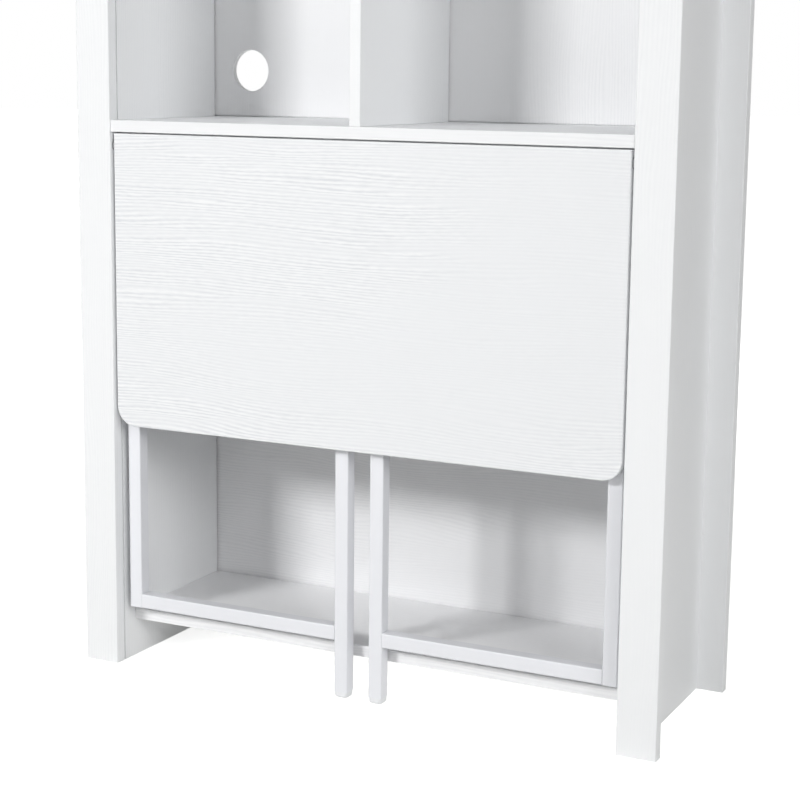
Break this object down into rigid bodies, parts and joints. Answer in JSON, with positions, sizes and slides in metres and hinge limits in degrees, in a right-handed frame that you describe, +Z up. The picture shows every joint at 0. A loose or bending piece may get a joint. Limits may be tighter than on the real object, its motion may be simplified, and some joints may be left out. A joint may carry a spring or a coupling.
{
  "type": "convertible desk",
  "caption": "Tall open bookcase with a fold-up desk leaf hung under its desk-height shelf and tubular gate legs folded behind the leaf.",
  "frame": {"origin": "centre of the desk's footprint, on the floor", "axes": "+Z up, +Y from the front with the leaf to the back panels, +X to the right as seen from the front"},
  "size_m": [0.854, 0.305, 1.8],
  "materials": {
    "white_melamine": "white melamine with embossed wood grain, satin",
    "white_back_board": "white foil with embossed wood grain, satin",
    "white_painted_steel": "white powder coat, satin",
    "white_plastic": "moulded, satin",
    "grey_nylon": "turned, matt",
    "grey_rubber": "matt",
    "zinc_plated_steel": "zinc plated",
    "beech": "turned, raw"
  },
  "bodies": {
    "cabinet": {"back_panel_screws": "zinc_plated_steel", "book_shelf_1": "white_melamine", "book_shelf_2": "white_melamine", "bottom_shelf": "white_melamine", "bracket_screws": "zinc_plated_steel", "cam_bolts": "zinc_plated_steel", "cam_locks": "zinc_plated_steel", "centre_divider": "white_melamine", "desk_shelf": "white_melamine", "dowels": "beech", "gate_pivot_pins": "zinc_plated_steel", "leaf_pivot_pins": "zinc_plated_steel", "left_front_stile": "white_melamine", "left_gate_bottom_rail": "white_painted_steel", "left_gate_brackets": "white_painted_steel", "left_gate_bumpers": "grey_rubber", "left_gate_foot": "white_plastic", "left_gate_leg": "white_painted_steel", "left_gate_plugs": "white_plastic", "left_gate_post": "white_painted_steel", "left_gate_top_rail": "white_painted_steel", "left_rear_stile": "white_melamine", "left_side_panel": "white_melamine", "lower_back_panel": "white_back_board", "right_front_stile": "white_melamine", "right_gate_bottom_rail": "white_painted_steel", "right_gate_brackets": "white_painted_steel", "right_gate_bumpers": "grey_rubber", "right_gate_foot": "white_plastic", "right_gate_leg": "white_painted_steel", "right_gate_plugs": "white_plastic", "right_gate_post": "white_painted_steel", "right_gate_top_rail": "white_painted_steel", "right_rear_stile": "white_melamine", "right_side_panel": "white_melamine", "top_panel": "white_melamine", "upper_back_panel": "white_back_board"},
    "leaf": {"desk_leaf": "white_melamine", "leaf_bushes": "grey_nylon"}
  },
  "joints": [
    {"name": "leaf_hinge", "type": "hinge", "parent": "cabinet", "child": "leaf", "pos_m": [0, -0.141, 0.734], "axis": [-1, 0, 0], "range_deg": [0, 90]}
  ]
}
